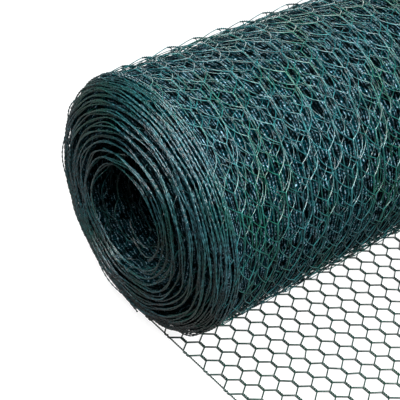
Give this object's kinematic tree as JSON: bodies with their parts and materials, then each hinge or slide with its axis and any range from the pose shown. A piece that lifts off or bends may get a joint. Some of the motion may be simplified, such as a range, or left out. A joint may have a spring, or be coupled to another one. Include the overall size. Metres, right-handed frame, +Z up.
{
  "type": "roll of chicken wire",
  "caption": "Roll of green PVC-coated hexagonal wire netting lying on its side, open at the bore, with its loose end running out flat from underneath.",
  "frame": {"origin": "on the floor, in the middle of the footprint of the roll and its loose end", "axes": "+X along the roll, from the end whose inner turns stand out to the other end; -Y the side the loose end runs out to; +Z up"},
  "size_m": [0.515, 0.3424, 0.212],
  "materials": {
    "netting": "dark green PVC coating on steel wire, semi-gloss"
  },
  "bodies": {
    "root": {"roll": "netting", "loose_end_inner": "netting", "loose_end_middle": "netting", "loose_end_outer": "netting"}
  },
  "joints": []
}
